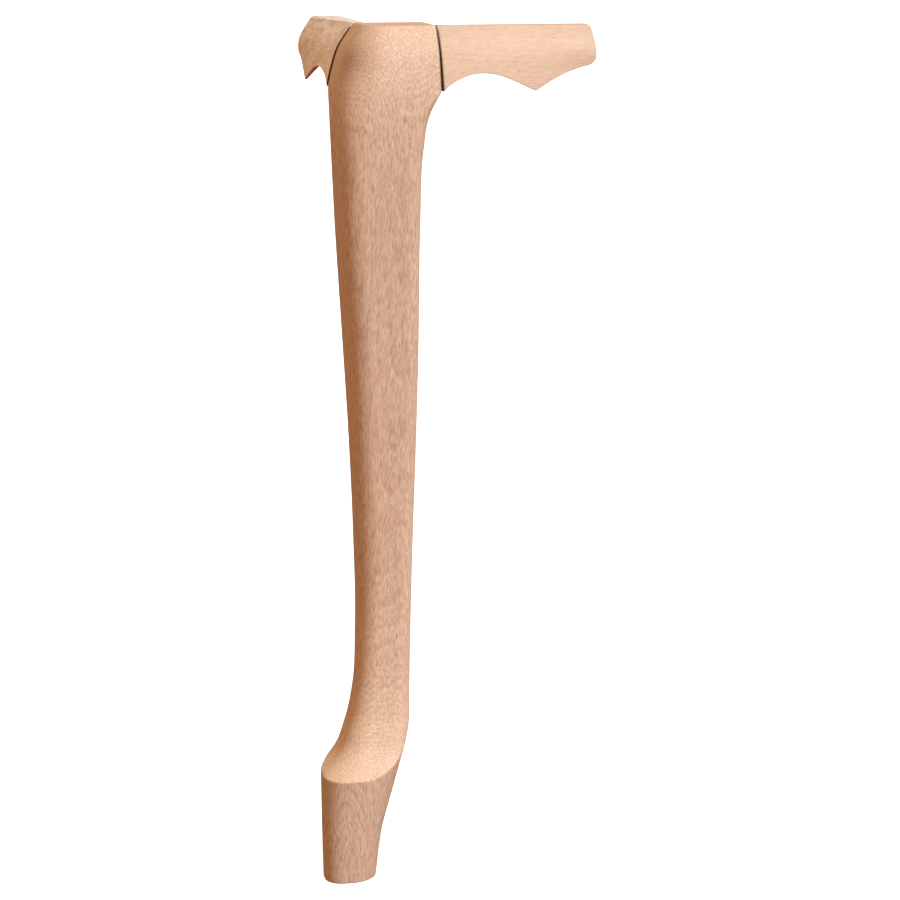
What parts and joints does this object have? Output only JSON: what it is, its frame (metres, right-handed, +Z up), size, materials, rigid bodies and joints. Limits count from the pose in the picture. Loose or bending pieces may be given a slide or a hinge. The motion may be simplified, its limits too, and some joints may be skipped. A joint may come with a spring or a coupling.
{
  "type": "wooden table leg",
  "caption": "Raw beech cabriole table leg with a square post, a rounded knee, a slim ankle and a hoof foot, and scalloped ears beside its post.",
  "frame": {"origin": "the axis of the leg's side pattern, on the post's top face, where the table's top or rails rest", "axes": "+Z up along the leg, +X from the post along the right ear, +Y from the post along the left ear; the knee and the toe point between -X and -Y"},
  "size_m": [0.232, 0.232, 0.715],
  "materials": {
    "leg_wood": "raw sanded beech, grain along the leg",
    "right_ear_wood": "raw sanded beech, pale, grain along the ear",
    "left_ear_wood": "raw sanded beech, redder, grain along the ear",
    "dowel_wood": "raw turned beech"
  },
  "bodies": {
    "root": {"leg": "leg_wood", "right_ear": "right_ear_wood", "left_ear": "left_ear_wood", "right_ear_dowel_upper": "dowel_wood", "right_ear_dowel_lower": "dowel_wood", "left_ear_dowel_upper": "dowel_wood", "left_ear_dowel_lower": "dowel_wood"}
  },
  "joints": []
}
